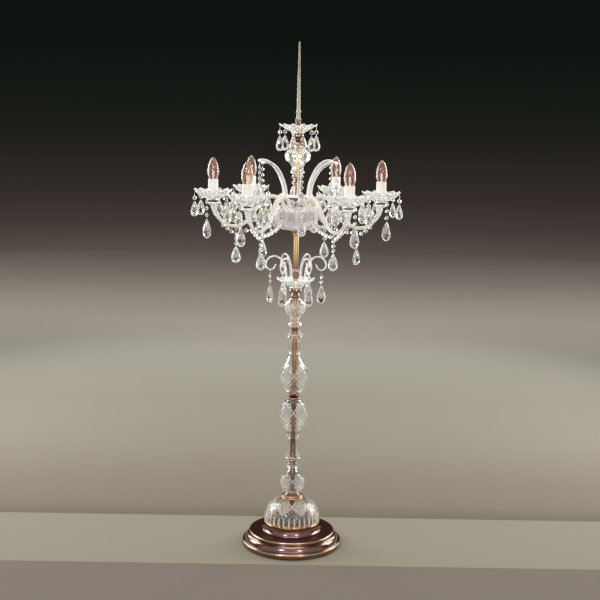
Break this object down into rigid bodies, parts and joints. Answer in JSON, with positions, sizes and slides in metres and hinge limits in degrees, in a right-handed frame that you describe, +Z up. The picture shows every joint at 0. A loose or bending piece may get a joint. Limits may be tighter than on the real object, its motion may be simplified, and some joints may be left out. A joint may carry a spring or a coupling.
{
  "type": "crystal floor lamp",
  "caption": "Tall floor lamp with a stepped round foot, a cut-glass stem, curved glass arms with candle lights and hanging crystals, and a glass spire.",
  "frame": {"origin": "on the floor under the central rod, at the middle of the felt's underside", "axes": "+Z up along the stem, +X along one arm, the pictured side faces -Y"},
  "size_m": [0.6542, 0.5773, 1.613],
  "materials": {
    "copper": "dark copper bronze, polished, with golden high edges",
    "steel": "plain",
    "iron": "rough, unpainted",
    "felt": "short green felt",
    "crystal": "clear cut lead glass",
    "bulb_glass": "clear thin glass",
    "ivory": "satin ivory candle sleeve"
  },
  "bodies": {
    "stand": {"felt_pad": "felt", "base_ballast": "iron", "base_shell": "copper", "base_plinth": "copper", "stem_rod": "steel", "stem_tube": "copper", "pole_sleeve": "copper", "pole_tube": "copper", "glass_dome": "crystal", "glass_ball": "crystal", "lower_vase": "crystal", "upper_vase": "crystal", "neck_vase": "crystal", "top_baluster": "crystal", "dome_cap": "copper", "collar_low": "copper", "collar_mid": "copper", "collar_high": "copper", "dish_collar": "copper", "hub_collar": "copper", "top_collar": "copper", "top_cup": "copper", "lower_dish": "crystal", "scroll_spray": "crystal", "hub_bowl": "crystal", "arm_receiver": "copper", "cane_spray": "crystal", "top_dish": "crystal", "spire_collar": "copper", "spire": "crystal", "arm_1": "crystal", "dish_1": "crystal", "candle_1": "ivory", "arm_2": "crystal", "dish_2": "crystal", "candle_2": "ivory", "arm_3": "crystal", "dish_3": "crystal", "candle_3": "ivory", "arm_4": "crystal", "dish_4": "crystal", "candle_4": "ivory", "arm_5": "crystal", "dish_5": "crystal", "candle_5": "ivory", "arm_6": "crystal", "dish_6": "crystal", "candle_6": "ivory"},
    "bulb_1": {"bulb_1": "bulb_glass"},
    "drop_1": {"drop_1": "crystal"},
    "bulb_2": {"bulb_2": "bulb_glass"},
    "drop_2": {"drop_2": "crystal"},
    "bulb_3": {"bulb_3": "bulb_glass"},
    "drop_3": {"drop_3": "crystal"},
    "bulb_4": {"bulb_4": "bulb_glass"},
    "drop_4": {"drop_4": "crystal"},
    "bulb_5": {"bulb_5": "bulb_glass"},
    "drop_5": {"drop_5": "crystal"},
    "bulb_6": {"bulb_6": "bulb_glass"},
    "drop_6": {"drop_6": "crystal"}
  },
  "joints": [
    {"name": "bulb_1_screw", "type": "hinge", "parent": "stand", "child": "bulb_1", "pos_m": [0.263, 0, 1.166], "axis": [0, 0, 1], "range_deg": [0, 1080]},
    {"name": "drop_1_swing", "type": "hinge", "parent": "stand", "child": "drop_1", "pos_m": [0.19, 0, 1.0278], "axis": [1, 0, 0], "range_deg": [-30, 30]},
    {"name": "bulb_2_screw", "type": "hinge", "parent": "stand", "child": "bulb_2", "pos_m": [0.1275, 0.23, 1.166], "axis": [0, 0, 1], "range_deg": [0, 1080]},
    {"name": "drop_2_swing", "type": "hinge", "parent": "stand", "child": "drop_2", "pos_m": [0.0921, 0.1662, 1.0278], "axis": [0.4848, 0.8746, 0], "range_deg": [-30, 30]},
    {"name": "bulb_3_screw", "type": "hinge", "parent": "stand", "child": "bulb_3", "pos_m": [-0.1527, 0.2141, 1.166], "axis": [0, 0, 1], "range_deg": [0, 1080]},
    {"name": "drop_3_swing", "type": "hinge", "parent": "stand", "child": "drop_3", "pos_m": [-0.1103, 0.1547, 1.0278], "axis": [-0.5807, 0.8141, 0], "range_deg": [-30, 30]},
    {"name": "bulb_4_screw", "type": "hinge", "parent": "stand", "child": "bulb_4", "pos_m": [-0.263, 0, 1.166], "axis": [0, 0, 1], "range_deg": [0, 1080]},
    {"name": "drop_4_swing", "type": "hinge", "parent": "stand", "child": "drop_4", "pos_m": [-0.19, 0, 1.0278], "axis": [-1, 0, 0], "range_deg": [-30, 30]},
    {"name": "bulb_5_screw", "type": "hinge", "parent": "stand", "child": "bulb_5", "pos_m": [-0.1471, -0.218, 1.166], "axis": [0, 0, 1], "range_deg": [0, 1080]},
    {"name": "drop_5_swing", "type": "hinge", "parent": "stand", "child": "drop_5", "pos_m": [-0.1062, -0.1575, 1.0278], "axis": [-0.5592, -0.829, 0], "range_deg": [-30, 30]},
    {"name": "bulb_6_screw", "type": "hinge", "parent": "stand", "child": "bulb_6", "pos_m": [0.1546, -0.2128, 1.166], "axis": [0, 0, 1], "range_deg": [0, 1080]},
    {"name": "drop_6_swing", "type": "hinge", "parent": "stand", "child": "drop_6", "pos_m": [0.1117, -0.1537, 1.0278], "axis": [0.5878, -0.809, 0], "range_deg": [-30, 30]}
  ]
}
